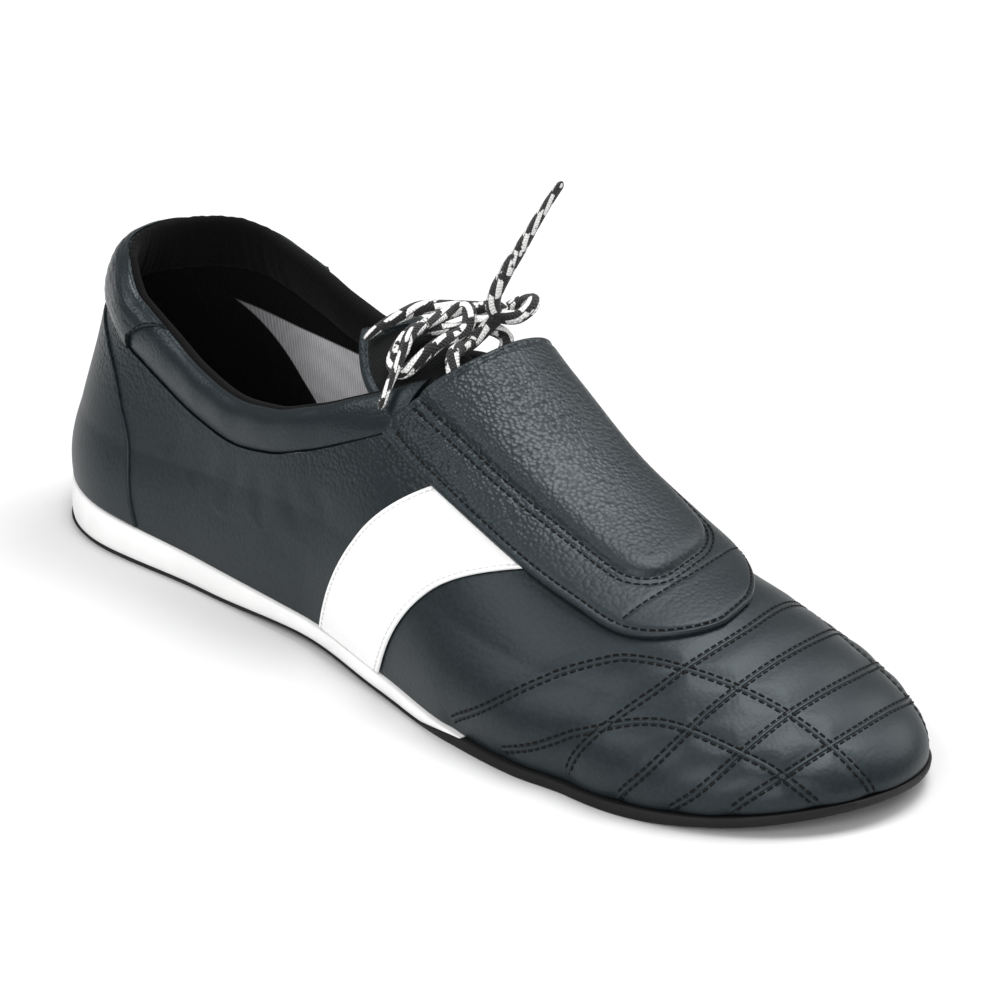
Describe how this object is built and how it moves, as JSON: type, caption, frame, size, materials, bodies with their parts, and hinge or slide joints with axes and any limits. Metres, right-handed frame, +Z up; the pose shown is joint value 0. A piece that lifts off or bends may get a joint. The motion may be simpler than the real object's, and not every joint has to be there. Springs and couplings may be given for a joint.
{
  "type": "taekwondo shoe",
  "caption": "Low right martial arts shoe in black leather with a padded collar, a padded cover over the lacing, white side panels and a thin flexible sole.",
  "frame": {"origin": "on the floor, under the middle of the shoe's box, the bow of the lace left out", "axes": "+X from heel to toe, +Y to the inner side of the right shoe, +Z up"},
  "size_m": [0.2892, 0.0928, 0.1232],
  "materials": {
    "outsole_rubber": "matte black rubber",
    "midsole_rubber": "smooth white foam rubber",
    "insole_textile": "ribbed grey textile",
    "upper_leather": "fine-grained black leather, semi-gloss",
    "collar_leather": "smooth padded black leather",
    "panel_leather": "smooth white leather",
    "tongue_textile": "dark grey padded textile with a black bound edge",
    "cover_leather": "pebbled black leather, semi-gloss",
    "lace_cord": "black and white flecked braided cord"
  },
  "bodies": {
    "root": {"outsole": "outsole_rubber", "midsole": "midsole_rubber", "insole": "insole_textile", "upper": "upper_leather", "collar": "collar_leather", "heel_counter": "upper_leather", "heel_tab": "collar_leather", "side_panel_lateral": "panel_leather", "side_panel_medial": "panel_leather", "tongue": "tongue_textile", "lace_cover": "cover_leather", "lace_bar_1": "lace_cord", "lace_bar_2": "lace_cord", "lace_bar_3": "lace_cord", "lace_knot": "lace_cord", "lace_loop_lateral": "lace_cord", "lace_loop_medial": "lace_cord", "lace_end_up": "lace_cord", "lace_end_back": "lace_cord", "lace_end_front": "lace_cord"}
  },
  "joints": []
}
